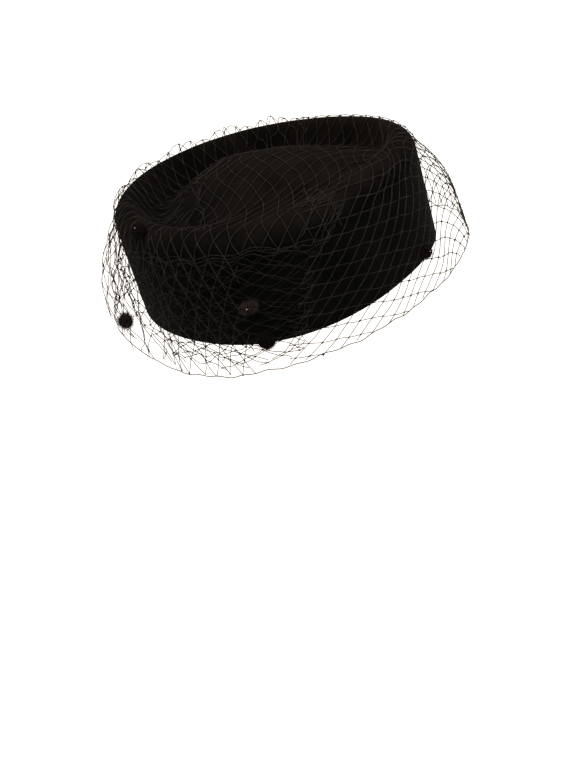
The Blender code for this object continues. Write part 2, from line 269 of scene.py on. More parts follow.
def shoulder_reach(direction, turn, stand_off):
    inset = SHOULDER_RADIUS - (SHOULDER_RADIUS + stand_off) * np.cos(np.radians(turn))
    return reach(direction, RIM_LENGTH - 2 * inset, RIM_WIDTH - 2 * inset)


def shoulder_height(turn, stand_off):
    return WALL_TOP + (SHOULDER_RADIUS + stand_off) * np.sin(np.radians(turn))


def top_drop(direction, fraction):
    """How far the felt's top lies under the rim."""
    depth, bottom, brow, brow_at = (read_trench(name, direction) for name in TRENCH_COLUMNS[1:])
    outer = depth * ease((1 - fraction) / (1 - bottom))
    inner = brow + (depth - brow) * ease((fraction - brow_at) / (bottom - brow_at))
    tip = (brow + TIP_RISE) * (fraction / brow_at) ** 2 - TIP_RISE
    return np.where(fraction >= bottom, outer, np.where(fraction >= brow_at, inner, tip))


def veil_drop(direction, fraction):
    """How far the veil lies under the rim, bridging the trench in part."""
    felt = top_drop(direction, fraction)
    brow, brow_at = read_trench("brow", direction), read_trench("brow_at", direction)
    bridge = brow * ease((1 - fraction) / (1 - brow_at))
    follow = read_edge(TRENCH_SHARE, np.mod(direction, 360))
    return np.where(felt < bridge, felt, bridge + follow * (felt - bridge))


def veil_stand_off(direction, height):
    stand_off, drop = read_hang("stand_off", direction), read_hang("drop", direction)
    fall = np.clip((WALL_TOP - height) / (WALL_TOP + drop), 0, 1)
    return SHOULDER_LIFT + (stand_off - SHOULDER_LIFT) * (1 - (1 - fall) ** FLARE_POWER)


def place(direction, distance, height):
    """Points in metres from directions in degrees, distances from the plan's middle and heights."""
    angle = np.radians(direction)
    x = MIDDLE[0] - np.sin(angle) * distance
    y = MIDDLE[1] - np.cos(angle) * distance
    return np.stack(np.broadcast_arrays(x, y, height), axis=-1) * MM


# Tools that make every piece

def principled(name, **values):
    material = bpy.data.materials.new(name)
    material.use_nodes = True
    shader = material.node_tree.nodes["Principled BSDF"]
    for socket, value in values.items():
        shader.inputs[socket.replace("_", " ")].default_value = value
    return material, material.node_tree, shader


def add_node(tree, kind, inputs=None, **settings):
    """A node with its settings and inputs, each a value or another node's output."""
    node = tree.nodes.new(kind)
    for name, value in settings.items():
        setattr(node, name, value)
    for name, value in (inputs or {}).items():
        if isinstance(value, bpy.types.NodeSocket):
            tree.links.new(value, node.inputs[name])
        else:
            node.inputs[name].default_value = value
    return node


def object_noise(tree, scale, detail=2.0, roughness=0.5):
    """A noise texture on the piece's own coordinates, in cells per metre."""
    where = add_node(tree, "ShaderNodeTexCoord").outputs["Object"]
    return add_node(tree, "ShaderNodeTexNoise", {
        "Vector": where, "Scale": scale, "Detail": detail, "Roughness": roughness}).outputs["Fac"]


def tone_between(tree, factor, low, high):
    ramp = add_node(tree, "ShaderNodeValToRGB", {"Fac": factor})
    for stop, position, tone in zip(ramp.color_ramp.elements, (0.35, 0.65), (low, high)):
        stop.position = position
        stop.color = (*tone, 1)
    return ramp.outputs["Color"]


def raise_grain(tree, shader, height, strength, distance, under=None):
    bump = add_node(tree, "ShaderNodeBump", {"Height": height, "Strength": strength, "Distance": distance})
    if under is not None:
        tree.links.new(under, bump.inputs["Normal"])
    tree.links.new(bump.outputs["Normal"], shader.inputs["Normal"])
    return bump.outputs["Normal"]


def add_item(name, data):
    item = bpy.data.objects.new(name, data)
    bpy.context.scene.collection.objects.link(item)
    return item


def to_mesh(name, shape):
    mesh = bpy.data.meshes.new(name)
    shape.to_mesh(mesh)
    shape.free()
    return mesh


def add_piece(name, mesh, material, slot, *nodes):
    """A finished piece that rides with the hat and stands for CAD nodes."""
    piece = add_item(name, mesh)
    if material is not None:
        mesh.materials.clear()
        mesh.materials.append(material)
    mesh.shade_smooth()
    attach(piece, "root")
    if nodes:
        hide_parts(*nodes)


def plain_mesh(item):
    """The evaluated shape of an object as a mesh of its own, with the object removed."""
    bpy.context.view_layer.update()
    shape = item.evaluated_get(bpy.context.evaluated_depsgraph_get())
    mesh = bpy.data.meshes.new_from_object(shape)
    bpy.data.objects.remove(item)
    return mesh


def grow(name, mesh, tree, values):
    """Runs a node tree on a mesh and returns the result as a plain mesh."""
    item = add_item(name, mesh)
    maker = item.modifiers.new(name, "NODES")
    maker.node_group = tree
    for socket in tree.interface.items_tree:
        if socket.item_type == "SOCKET" and socket.in_out == "INPUT" and socket.name in values:
            maker[socket.identifier] = values[socket.name]
    return plain_mesh(item)


def new_tree(name, **inputs):
    """An empty geometry tree, and what it is given: a mesh and the named inputs."""
    tree = bpy.data.node_groups.new(name, "GeometryNodeTree")
    tree.interface.new_socket("Geometry", in_out="OUTPUT", socket_type="NodeSocketGeometry")
    tree.interface.new_socket("Geometry", in_out="INPUT", socket_type="NodeSocketGeometry")
    for label, kind in inputs.items():
        tree.interface.new_socket(label.replace("_", " "), in_out="INPUT", socket_type="NodeSocket" + kind)
    return tree, tree.nodes.new("NodeGroupInput").outputs


def random_vector(tree, given, low, high):
    return add_node(tree, "FunctionNodeRandomValue", {
        "Min": low, "Max": high, "Seed": given["Seed"]}, data_type="FLOAT_VECTOR").outputs["Value"]


def end_tree(tree, given, kept, instances):
    """Makes the instances real, joins them to the kept geometry and gives both their finish."""
    real = add_node(tree, "GeometryNodeRealizeInstances", {"Geometry": instances})
    both = add_node(tree, "GeometryNodeJoinGeometry", {"Geometry": kept})
    tree.links.new(real.outputs["Geometry"], both.inputs["Geometry"])
    finish = add_node(tree, "GeometryNodeSetMaterial", {
        "Geometry": both.outputs["Geometry"], "Material": given["Finish"]})
    add_node(tree, "NodeGroupOutput", {"Geometry": finish.outputs["Geometry"]})
    return tree


# Materials

def make_felt_material():
    """Black wool felt, painted lighter and browner on top than on the wall, as light from above falls."""
    material, tree, shader = principled(
        "wool felt", Roughness=0.95, Specular_IOR_Level=0.02, Sheen_Weight=0.010, Sheen_Roughness=0.4,
        Sheen_Tint=(1.0, 0.82, 0.70, 1))
    patches = object_noise(tree, 38, 3)
    # painted light: the top tones are lighter and browner than the wall tones, standing in for light from
    # above
    wall = tone_between(tree, patches, (0.0015, 0.0015, 0.0015), (0.0029, 0.0028, 0.0027))
    top = tone_between(tree, patches, (0.0037, 0.0029, 0.0024), (0.0078, 0.0056, 0.0045))
    # the attribute carries the painted light and shade worked out over the felt's shape
    painted_light = add_node(tree, "ShaderNodeAttribute", attribute_name="painted_light").outputs["Fac"]
    blend = add_node(tree, "ShaderNodeMix", {"Factor": painted_light, 6: wall, 7: top}, data_type="RGBA")
    tree.links.new(blend.outputs[2], shader.inputs["Base Color"])
    nap = raise_grain(tree, shader, object_noise(tree, 1900, 3, 0.7), strength=0.5, distance=0.00025)
    raise_grain(tree, shader, object_noise(tree, 260), strength=0.35, distance=0.0006, under=nap)
    return material


def make_veiling_material(name, tone):
    """Black thread, painted lighter on the top and darker down the sides, as light from above falls."""
    material, tree, shader = principled(name, Roughness=0.55, Specular_IOR_Level=0.05)
    low = [value * tone for value in (0.0105, 0.0086, 0.0077)]
    high = [value * tone for value in (0.0235, 0.0190, 0.0168)]
    colour = tone_between(tree, object_noise(tree, 240), low, high)
    where = add_node(tree, "ShaderNodeTexCoord").outputs["Object"]
    height = add_node(tree, "ShaderNodeSeparateXYZ", {"Vector": where}).outputs["Z"]
    # painted light and shade: the threads' tone is scaled by height
    lit_share = add_node(tree, "ShaderNodeMapRange", {
        "Value": height, "From Min": SHADED_THREADS_BELOW * MM, "From Max": LIT_THREADS_ABOVE * MM,
        "To Min": THREAD_SHADE_TONE, "To Max": 1.0}).outputs["Result"]
    painted_light = add_node(tree, "ShaderNodeVectorMath", {0: colour, "Scale": lit_share}, operation="SCALE")
    tree.links.new(painted_light.outputs["Vector"], shader.inputs["Base Color"])
    raise_grain(tree, shader, object_noise(tree, 6000, 1), strength=0.4, distance=0.0001)
    return material


def make_chenille_material(name, tone):
    """Chenille from nearly black at tone 0 to mauve brown at tone 1."""
    material, tree, shader = principled(
        name, Roughness=0.8, Specular_IOR_Level=0.02 + 0.05 * tone, Sheen_Weight=0.004 + 0.05 * tone,
        Sheen_Roughness=0.4, Sheen_Tint=(1.0, 0.82, 0.82, 1))
    strength = 0.12 + tone
    low = [value * strength for value in (0.0070, 0.0042, 0.0042)]
    high = [value * strength for value in (0.036, 0.024, 0.023)]
    tree.links.new(tone_between(tree, object_noise(tree, 500), low, high), shader.inputs["Base Color"])
    raise_grain(tree, shader, object_noise(tree, 2500), strength=0.5, distance=0.0004)
    return material


def make_glint_glue_material():
    material, tree, shader = principled("glue with painted glint", Roughness=0.15, Coat_Weight=0.6)
    # painted highlight: a glossy drop catches real light, and its pale colour paints the glint
    colour = tone_between(tree, object_noise(tree, 900), (0.16, 0.14, 0.14), (0.34, 0.31, 0.31))
    tree.links.new(colour, shader.inputs["Base Color"])
    return material


felt_finish = make_felt_material()
thread_finish = make_veiling_material("veiling", 1.1)
# painted shade: a darker copy of the veiling for the layers lying in shade under the veil
shaded_thread_finish = make_veiling_material("shaded inner veiling", 0.66)
glint_glue_finish = make_glint_glue_material()


# Felt hat

def make_felt_hat():
    directions = np.arange(FELT_SECTORS) * 360 / FELT_SECTORS
    # painted light and shade: the top lighter, more so on the lit side, and the trench's bottom darker on the
    # shaded side
    side_light = np.cos(np.radians(directions - LIT_SIDE)) * LIT_SIDE_EXTRA
    shaded = (LIT_SIDE_EXTRA - side_light) / (2 * LIT_SIDE_EXTRA)
    deepest = max(row[TRENCH_COLUMNS.index("trench")] for row in TRENCH_ROWS)
    rings, light_shares = [], []
    for share in np.linspace(0, 1, FELT_WALL_RINGS + 1)[:-1]:
        height = WALL_TOP * share
        rings.append(place(directions, wall_reach(directions, height, 0), height))
        light_shares.append(np.zeros(FELT_SECTORS))
    for turn in np.linspace(0, 90, FELT_SHOULDER_RINGS):
        rings.append(place(directions, shoulder_reach(directions, turn, 0), shoulder_height(turn, 0)))
        light_shares.append(ease(turn / TOP_LIGHT_TURN) * (TOP_LIGHT_LEVEL + side_light))
    crest = shoulder_reach(directions, 90, 0)
    for step in range(1, FELT_TOP_RINGS):
        fraction = 1 - step / FELT_TOP_RINGS
        drop = top_drop(directions, fraction)
        rings.append(place(directions, crest * fraction, HAT_HEIGHT - drop))
        # painted shade deeper in the trench
        sunk = np.clip(drop / deepest, 0, 1)
        light_shares.append((TOP_LIGHT_LEVEL + side_light * fraction) * (1 - TRENCH_SHADE * sunk * shaded))
    shape = bmesh.new()
    painted_light = shape.verts.layers.float.new("painted_light")
    loops = [[shape.verts.new(point) for point in ring] for ring in rings]
    for loop, light_share in zip(loops, light_shares):
        for vert, share in zip(loop, light_share):
            vert[painted_light] = float(share)
    for outer, inner in zip(loops, loops[1:]):
        for i, vert in enumerate(outer):
            after = (i + 1) % FELT_SECTORS
            shape.faces.new((vert, inner[i], inner[after], outer[after]))
    pole = shape.verts.new((MIDDLE[0] * MM, MIDDLE[1] * MM, (HAT_HEIGHT + TIP_RISE) * MM))
    pole[painted_light] = TOP_LIGHT_LEVEL
    for i, vert in enumerate(loops[-1]):
        shape.faces.new((vert, pole, loops[-1][(i + 1) % FELT_SECTORS]))
    bmesh.ops.recalc_face_normals(shape, faces=shape.faces)
    shape.normal_update()
    for vert in shape.verts:
        rise = noise.noise(vert.co * FELT_LUMPS_PER_METRE) * FELT_LUMPS * MM
        vert.co += vert.normal * rise
    hat = add_item("felt_shape", to_mesh("felt_hat", shape))
    wall = hat.modifiers.new("felt wall", "SOLIDIFY")
    wall.thickness = FELT_THICKNESS * MM
    wall.offset = -1
    wall.use_even_offset = True
    edge = hat.modifiers.new("cut edge", "BEVEL")
    edge.width = FELT_EDGE_ROUND * MM
    edge.segments = 3
    edge.limit_method = "ANGLE"
    edge.angle_limit = math.radians(60)
    add_piece("blocked_felt_hat", plain_mesh(hat), felt_finish, "wool_felt", "felt_hat")


# Veil

PROFILE_STEP = 1.0             # along the veil
PROFILE_POINTS = 300
PROFILE_SPACING = 3            # degrees
PROFILE_DIRECTIONS = np.arange(0, 361, PROFILE_SPACING)
SMOOTHED = 9                   # points that each point of the top is the mean of
PAST_HEM = 25                  # how far the profile goes on under the hem
WALL_ALONG = 120               # length along the veil that is surely past the shoulder


def veil_profile(direction):
    """Distances and heights of the veil at even steps along it, at one direction, and the hem's place."""
    fraction = np.linspace(0, 1, 160)
    crest = shoulder_reach(direction, 90, 0)
    felt = HAT_HEIGHT - top_drop(direction, fraction)
    bridged = HAT_HEIGHT - veil_drop(direction, fraction)
    padded = np.concatenate([np.full(SMOOTHED, bridged[0]), bridged, np.full(SMOOTHED, bridged[-1])])
    soft = np.convolve(padded, np.ones(SMOOTHED) / SMOOTHED, "same")[SMOOTHED:-SMOOTHED]
    lift = VEIL_LIFT + (SHOULDER_LIFT - VEIL_LIFT) * ease((fraction - (1 - LIFTED_RIM)) / LIFTED_RIM)
    top = np.maximum(soft, felt) + lift
    turn = np.linspace(90, 0, 16)[1:]
    drop = read_hang("drop", direction)
    height = np.linspace(WALL_TOP, -drop - PAST_HEM, 90)[1:]
    distance = np.concatenate([
        crest * fraction, shoulder_reach(direction, turn, SHOULDER_LIFT),
        wall_reach(direction, height, veil_stand_off(direction, height))])
    height = np.concatenate([top, shoulder_height(turn, SHOULDER_LIFT), height])
    along = np.concatenate([[0], np.cumsum(np.hypot(np.diff(distance), np.diff(height)))])
    even = np.arange(PROFILE_POINTS) * PROFILE_STEP
    down = along > WALL_ALONG
    hem = np.interp(drop, -height[down], along[down])
    return np.interp(even, along, distance), np.interp(even, along, height), hem


PROFILE_DISTANCE, PROFILE_HEIGHT, HEM_AT = (
    np.array(values) for values in zip(*(veil_profile(float(d)) for d in PROFILE_DIRECTIONS)))


def read_profile(values, direction, along):
    """Value from a profile grid at directions in degrees and lengths along the veil."""
    column = np.mod(direction, 360) / PROFILE_SPACING
    row = np.clip(along / PROFILE_STEP, 0, PROFILE_POINTS - 2)
    i, j = column.astype(int), row.astype(int)
    a, b = column - i, row - j
    low = values[i, j] * (1 - b) + values[i, j + 1] * b
    high = values[i + 1, j] * (1 - b) + values[i + 1, j + 1] * b
    return low * (1 - a) + high * a


def hem_along(direction):
    return np.interp(np.mod(direction, 360), PROFILE_DIRECTIONS, HEM_AT)


def crinkle(x, y, scale, seed):
    """Smooth unevenness from -1 to 1 over a flat sheet in millimetres."""
    points = zip(x.ravel(), y.ravel())
    return np.array([noise.noise(Vector((a / scale, b / scale, seed))) for a, b in points]).reshape(x.shape)


def mean_reach(along):
    return np.interp(along, np.arange(PROFILE_POINTS) * PROFILE_STEP, PROFILE_DISTANCE[:-1].mean(axis=0))


def from_cut(bearing):
    """Sheet angles counted on from the cut, and whether they are drawn with the side's band."""
    whole = np.mod(bearing - SHEET_CUT, 360) + SHEET_CUT
    return whole, (whole > FAN_SEAM) & (whole < 180)


def lay_flat_sheet(x, y):
    """Direction and length along the veil for points of the flat sheet over the tip, front and right."""
    length = np.hypot(x, y)
    outer = ease((length - FAN_FROM) / FAN_GROWS)
    bearing = np.degrees(np.arctan2(x, y))
    middle = bearing[:, bearing.shape[1] // 2, None] if bearing.ndim > 1 else bearing
    on_side = np.broadcast_to(from_cut(middle)[1], bearing.shape)

    def band(name):
        return np.where(on_side, SIDE_BAND[name], FRONT_BAND[name])

    angle = bearing + TIP_TWIST * (1 - outer) + band("turned") * outer
    off = np.mod(angle - band("direction") + 180, 360) - 180
    outward = np.where(on_side, off, -off)
    within = (1 - ease((outward - FAN_REACH) / FAN_FADES)) * (np.abs(off) < 90)
    fan = band("strength") * outer * within
    along = length * (1 - fan * (1 - np.cos(np.radians(off))))
    wrapped = np.degrees(length * np.sin(np.radians(off)) / mean_reach(along))
    direction = band("direction") + off * (1 - fan) + wrapped * fan + band("drawn") * off * outer * within
    press = 1 - (1 - band("pressed")) * (1 - ease((np.abs(off) - FAN_REACH) / PRESS_FADES))
    along = np.where(along > RIM_ALONG, RIM_ALONG + (along - RIM_ALONG) * press, along)
    dragged = np.degrees(np.maximum(along - RIM_ALONG, 0) / mean_reach(along)) * within
    aside = np.radians(off) * mean_reach(along) * within * ease((length - RIM_ALONG) / SAG_GROWS)
    return direction + band("dragged") * dragged, along + band("sagged") * aside


def lay_back_strip(x, y):
    """The same for the strip of diamonds that hangs down the back, crumpled in the trench."""
    crumpled = 1 - ease((y - CRUMPLED_ALONG) / OUT_OF_TRENCH)
    aside = crinkle(x, y, scale=16, seed=3) * 7 * crumpled
    down = crinkle(x, y, scale=13, seed=8) * 8 * crumpled
    return (x + aside) / math.radians(1) / BACK_RADIUS, y + down


def tip_fold(direction):
    """Length along the veil where the tip's diamonds are folded under."""
    return read_edge(TIP_FOLD, direction) + 2 * np.sin(np.radians(direction * 11))


def drape(direction, along):
    """Points at directions and lengths along the veil, in metres."""
    distance = read_profile(PROFILE_DISTANCE, direction, along)
    height = read_profile(PROFILE_HEIGHT, direction, along)
    turned = np.mod(direction, 360)
    skirt = ease((along - SKIRT_ALONG) / SKIRT_GROWS)
    deep = np.clip(waves(direction - DEEP_FROM, DEEP_NARROW), 0, 1) * (turned < DEEP_TO)
    fold = waves(direction, DEEP_FOLDS, late=1.7 * waves(direction, 9)) * deep
    ripple = waves(direction, RIPPLES, late=along * 0.02)
    billow = ease((turned - BILLOW_FROM) / BILLOW_GROWS) * ease((BACK_TO - turned) / BILLOW_FADES)
    billow = billow * ease((height - BILLOW_LOW) / BILLOW_LIFTS)
    billow = billow * np.exp(-((distance - shoulder_reach(turned, 90, 0)) / BILLOW_WIDTH) ** 2)
    distance = distance + skirt * (fold * DEEP_DEPTH - DEEP_INSET * deep + ripple * RIPPLE_DEPTH)
    height = height + billow * (0.6 + 0.4 * waves(direction, 19)) * RIM_BILLOW
    height = height + skirt * waves(direction, 23, late=2) * deep * DEEP_RISE
    return place(direction, distance, height)


def scatter(count, seed, amount):
    return (np.random.default_rng(seed).random((count, 2)) - 0.5) * 2 * amount


def hang_together(keep, ends, least):
    """Which knots are kept once groups with fewer than the least number of joined knots are left out."""
    joined = ends[keep[ends].all(axis=1)]
    group = np.arange(len(keep))
    changed = True
    while changed:
        low = group[joined].min(axis=1)
        before = group.copy()
        np.minimum.at(group, joined[:, 0], low)
        np.minimum.at(group, joined[:, 1], low)
        changed = bool((group != before).any())
    count = np.bincount(group[keep], minlength=len(keep))
    return keep & (count[group] >= least)


def make_net_threads(inside, reach_out, width, length, long_turn, seed, jitter, bend=THREAD_BEND, least=1):
    """Threads and knots of a flat sheet of diamonds. inside says which flat points are on the sheet."""
    turn = math.radians(long_turn)
    long_way = np.array((math.sin(turn), math.cos(turn)))
    wide_way = np.array((long_way[1], -long_way[0]))
    columns = int(reach_out / width * 2)
    rows = int(reach_out / length * 2)
    grid = [(i, j) for i in range(-columns, columns + 1) for j in range(-rows, rows + 1) if (i + j) % 2 == 0]
    flat = np.array([i * width / 2 * wide_way + j * length / 2 * long_way for i, j in grid])
    flat += scatter(len(flat), seed, jitter)
    keep = inside(flat[:, 0], flat[:, 1])
    number = {pair: n for n, pair in enumerate(grid)}
    ends = [(n, number[i + side, j + 1]) for (i, j), n in number.items()
            for side in (-1, 1) if (i + side, j + 1) in number]
    keep = hang_together(keep, np.array(ends), least)
    strands = [(a, b) if keep[a] else (b, a) for a, b in ends if keep[a] or keep[b]]
    share = np.linspace(0, 1, THREAD_POINTS)[:, None]
    lines = []
    bends = scatter(len(strands), seed + 1, bend)
    for (a, b), (sag, _) in zip(strands, bends):
        start, end = flat[a], flat[b]
        if not keep[b]:
            low, high = 0.0, 1.0
            for _ in range(CUT_STEPS):
                middle = (low + high) / 2
                point = start + (end - start) * middle
                if inside(point[:1], point[1:])[0]:
                    low = middle
                else:
                    high = middle
            end = start + (end - start) * low
        across = np.array((end[1] - start[1], start[0] - end[0]))
        across /= max(np.linalg.norm(across), 1e-6)
        lines.append(start + (end - start) * share + across * sag * np.sin(share * np.pi))
    return np.array(lines), flat[keep]


def threads_mesh(name, lines, knots):
    """Open lines of points, with the knots as loose points after them."""
    count, points = lines.shape[:2]
    verts = np.concatenate([lines.reshape(-1, 3), knots])
    first = np.arange(count * points).reshape(count, points)
    edges = np.stack([first[:, :-1].ravel(), first[:, 1:].ravel()], axis=1)
    mesh = bpy.data.meshes.new(name)
    mesh.from_pydata(verts.tolist(), edges.tolist(), [])
    flag = mesh.attributes.new("knot", "BOOLEAN", "POINT")
    flag.data.foreach_set("value", np.arange(len(verts)) >= count * points)
    return mesh


def make_thread_tree():
    """Round threads along the lines and a small knot on every knot point."""
    tree, given = new_tree("threads and knots", Thread_Radius="Float", Thread_Sides="Int",
                           Knot_Radius="Float", Seed="Int", Finish="Material")
    lines = add_node(tree, "GeometryNodeMeshToCurve", {"Mesh": given["Geometry"]})
    profile = add_node(tree, "GeometryNodeCurvePrimitiveCircle", {
        "Resolution": given["Thread Sides"], "Radius": given["Thread Radius"]})
    tube = add_node(tree, "GeometryNodeCurveToMesh", {
        "Curve": lines.outputs["Curve"], "Profile Curve": profile.outputs["Curve"], "Fill Caps": True})
    flag = add_node(tree, "GeometryNodeInputNamedAttribute", {"Name": "knot"}, data_type="BOOLEAN")
    bead = add_node(tree, "GeometryNodeMeshIcoSphere", {"Radius": given["Knot Radius"], "Subdivisions": 1})
    knots = add_node(tree, "GeometryNodeInstanceOnPoints", {
        "Points": given["Geometry"], "Selection": flag.outputs["Attribute"],
        "Instance": bead.outputs["Mesh"],
        "Rotation": random_vector(tree, given, (0, 0, 0), (FULL_TURN,) * 3),
        "Scale": random_vector(tree, given, (0.75, 0.75, 0.75), (1.45, 1.1, 1.1))})
    return end_tree(tree, given, tube.outputs["Mesh"], knots.outputs["Instances"])


thread_tree = make_thread_tree()


def make_threads(name, lines, knots, radius, knot_radius, seed, finish, *nodes):
    mesh = grow(name + "_lines", threads_mesh(name, lines, knots), thread_tree, {
        "Thread Radius": radius * MM, "Thread Sides": THREAD_SIDES, "Knot Radius": knot_radius * MM,
        "Seed": seed, "Finish": finish})
    add_piece(name, mesh, None, "veiling", *nodes)


def back_edge(along):
    """Direction where the back's diamonds start, nearer the front in the trench than on the wall."""
    return BACK_FROM - BACK_FORWARD * (1 - ease((along - TRENCH_ALONG) / OUT_OF_TRENCH))


def off_the_back(x, y):
    """The flat sheet, cut where the folded layers and the back's diamonds take over."""
    direction, along = lay_flat_sheet(x, y)
    turned = np.mod(direction, 360)
    height = read_profile(PROFILE_HEIGHT, direction, along)
    fold = read_edge(GATHER_FRONT, height)
    bearing, on_side = from_cut(np.degrees(np.arctan2(x, y)))
    past_fold = np.where(on_side, direction < fold - SIDE_PAST_FOLD,
                         (direction > fold + FRONT_PAST_FOLD) & (bearing > 0))
    under_edge = on_side & (direction < TUCKED_TO) & (height < read_edge(GATHER_EDGE, direction) - TUCKED)
    at_layers = (past_fold | under_edge) & (along > GATHER_ALONG)
    at_back = ((turned > back_edge(along) + BACK_OVERLAP) & (turned < BACK_TO - BACK_OVERLAP) &
               (along > tip_fold(direction) + BACK_OVERLAP))
    return (along < hem_along(direction)) & ~at_back & ~at_layers


def on_the_back(x, y):
    """The back's diamonds, thinned to stray threads on the tip's flank inside the trench."""
    direction, along = lay_back_strip(x, y)
    stray = np.sin(x * 1.7) * np.sin(y * 0.9 + x * 0.3) > STRAY_THREADS
    return ((direction > back_edge(along)) & (direction < BACK_TO) & (along < hem_along(direction)) &
            ((along > BACK_INNER) | (stray & (along > tip_fold(direction)))))


def make_veil():
    sheet = make_net_threads(off_the_back, SHEET_REACH, DIAMOND_WIDTH, DIAMOND_LENGTH, LONG_WAY,
                             seed=11, jitter=0.45, least=SMALLEST_PATCH)
    back = make_net_threads(on_the_back, BACK_REACH, BACK_DIAMOND_WIDTH, DIAMOND_LENGTH, 0,
                            seed=12, jitter=0.6)
    draped, tied = (
        np.concatenate([drape(*lay_flat_sheet(front[..., 0], front[..., 1])),
                        drape(*lay_back_strip(behind[..., 0], behind[..., 1]))])
        for front, behind in zip(sheet, back))
    make_threads("veil", draped, tied, THREAD_RADIUS, KNOT_RADIUS, 3, thread_finish, "veil_net")


def make_hem():
    """The veil's selvedge, one thread all round the edge."""
    direction = np.arange(0, 360, 1.0)
    along = hem_along(direction) + 0.2
    distance = read_profile(PROFILE_DISTANCE, direction, along)
    height = read_profile(PROFILE_HEIGHT, direction, along)
    wave = waves(direction, 41) * 0.7 + waves(direction, 17, late=1) * 0.8
    loop = place(direction, distance + wave * 0.5, height + wave)
    loop = np.concatenate([loop, loop[:1]])[None]
    make_threads("veil_edge_thread", loop, loop[0, :1], EDGE_THREAD_RADIUS, EDGE_KNOT_RADIUS, 5,
                 thread_finish)


# Gathered layers under the veil, on the wearer's right

def on_gather(x, y, back):
    direction = x / math.radians(1) / GATHER_RADIUS
    low = GATHER_HEM + 3 * np.sin(np.radians(direction * 9))
    low = np.maximum(low, 1.5 - read_hang("drop", direction))
    return ((direction > read_edge(GATHER_FRONT, y)) & (direction < back) &
            (y < read_edge(GATHER_EDGE, direction) - 0.5) & (y > low))


def lay_gather(x, y, share, seed):
    """Points of a gathered layer between the wall and the veil, in metres."""
    direction = x / math.radians(1) / GATHER_RADIUS
    mess = MESS * ease((direction - MESS_FROM) / MESS_GROWS)
    direction = direction + (crinkle(x, y, 21, seed) * 2 + crinkle(x, y, 8, seed + 5) * 1.2) * (0.3 + mess)
    height = y + (crinkle(x, y, 24, seed + 9) * 6 + crinkle(x, y, 9, seed + 13) * 3) * (0.25 + mess)
    top = read_edge(GATHER_EDGE, direction)
    height = np.minimum(height, top + 0.5)
    down = ease((top - height) / GATHER_OUT)
    room = veil_stand_off(direction, height) - OFF_VEIL
    away = SHOULDER_LIFT + (share * room - 0.5) * down + crinkle(x, y, 12, seed + 17) * 3 * down
    away = np.clip(away, OFF_WALL, np.maximum(room, OFF_WALL))
    return place(direction, wall_reach(direction, height, away), height)


def make_gather(name, share, back, shift, seed):
    net = make_net_threads(lambda x, y: on_gather(x, y, back), SHEET_REACH, STRETCHED_WIDTH,
                           STRETCHED_LENGTH, 90 + shift, seed=seed, jitter=1.2, bend=0.6)
    laid, tied = (lay_gather(points[..., 0], points[..., 1], share, seed) for points in net)
    # the layers get the darker veiling copy, painted shade
    make_threads(name, laid, tied, THREAD_RADIUS, KNOT_RADIUS, seed, shaded_thread_finish, "veil_gather")


def make_loose_threads(name, strands, knot_every, knot_radius, seed):
    lines = np.array(strands)
    knots = lines[:, ::knot_every].reshape(-1, 3)
    make_threads(name, lines, knots, LOOSE_THREAD_RADIUS, knot_radius, seed, thread_finish)


def make_folds():
    """Threads that run together along the folded edges: the layers' top and front, and the tip's diamonds."""
    strands = []
    for i in range(TOP_STRANDS):
        direction = np.linspace(TOP_STRANDS_FROM, GATHER_BACK, STRAND_POINTS)
        snaking = np.sin(direction * (0.35 + 0.06 * i) + i * 2) * 1.3
        height = read_edge(GATHER_EDGE, direction) + snaking - i * 2.2
        strands.append(place(direction, wall_reach(direction, height, 1.0 + 0.4 * i), height))
    for i in range(FRONT_STRANDS):
        height = np.linspace(FRONT_STRANDS_HIGH, FRONT_STRANDS_LOW, STRAND_POINTS)
        snaking = np.sin(height * (0.22 + 0.05 * i) + i * 1.7) * 1.4
        direction = read_edge(GATHER_FRONT, height) + snaking + i * 0.9
        lift = 1.0 + 0.35 * i + 0.3 * np.maximum(veil_stand_off(direction, height) - OFF_VEIL, 0)
        wall = wall_reach(direction, np.minimum(height, WALL_TOP), lift)
        turn = np.degrees(np.arcsin(np.clip((height - WALL_TOP) / (SHOULDER_RADIUS + 1.5), 0, 1)))
        shoulder = shoulder_reach(direction, turn, 1.4 + 0.3 * i)
        strands.append(place(direction, np.where(height > WALL_TOP, shoulder, wall), height))
    for i in range(TIP_STRANDS):
        direction = np.linspace(TIP_STRANDS_FROM, TIP_STRANDS_TO, STRAND_POINTS)
        snaking = np.sin(direction * (0.2 + 0.1 * i)) * 1.2
        strands.append(drape(direction, tip_fold(direction) + snaking - i))
    make_loose_threads("gather_folded_edges", strands, knot_every=17, knot_radius=0.5, seed=31)


TACK_FROM = (38, 122)          # direction and turn round the shoulder, in degrees
TACK_TO = (25, 66)
TACK_LOOPS = 3
TACK_POINTS = 140
TRENCH_SLOPE = 0.4             # millimetres inwards for each degree past the crest


def over_shoulder(direction, turn, lift):
    """Points on the shoulder, and past 90 degrees of turn on the slope down into the trench."""
    over = turn > 90
    crest = shoulder_reach(direction, 90, 0)
    outside = np.minimum(turn, 90)
    distance = np.where(over, crest - (turn - 90) * TRENCH_SLOPE, shoulder_reach(direction, outside, lift))
    height = np.where(over, HAT_HEIGHT - top_drop(direction, np.minimum(distance / crest, 1)) + lift,
                      shoulder_height(outside, lift))
    return place(direction, distance, height)


